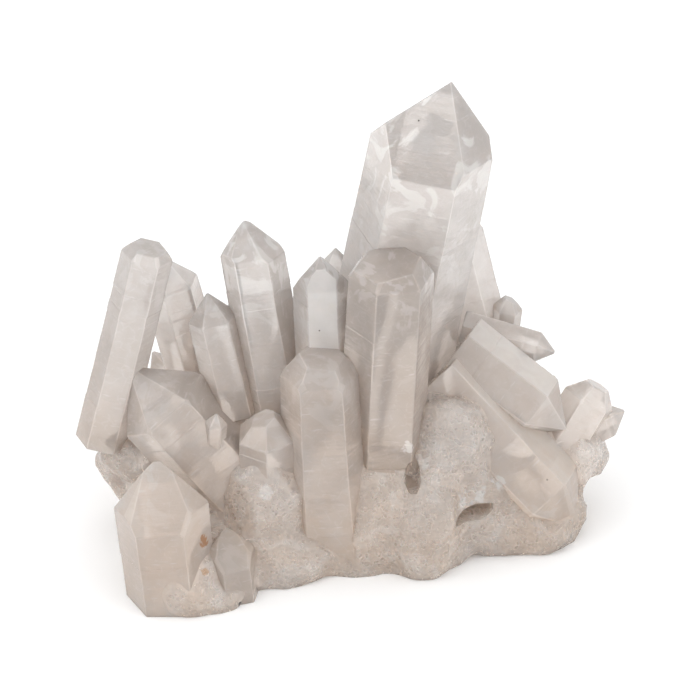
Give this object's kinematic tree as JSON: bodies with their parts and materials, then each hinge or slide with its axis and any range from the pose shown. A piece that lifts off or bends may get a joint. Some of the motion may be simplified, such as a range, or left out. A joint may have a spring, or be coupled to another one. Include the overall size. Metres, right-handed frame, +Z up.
{
  "type": "quartz crystal cluster",
  "caption": "Free-standing cluster of milky six-sided quartz points fanning out of a broken root, cut flat underneath to rest on a shelf or table.",
  "frame": {"origin": "centre of the bounding box, on the flat underside the cluster rests on", "axes": "+X to the right of the fan seen from its front, along its longest extent; -Y the front; +Z up, out of the flat underside"},
  "size_m": [0.1124, 0.0764, 0.097],
  "materials": {
    "milky_quartz": "natural translucent crystal faces, milky inside, with rough broken quartz at the root"
  },
  "bodies": {
    "root": {"quartz_cluster": "milky_quartz"}
  },
  "joints": []
}
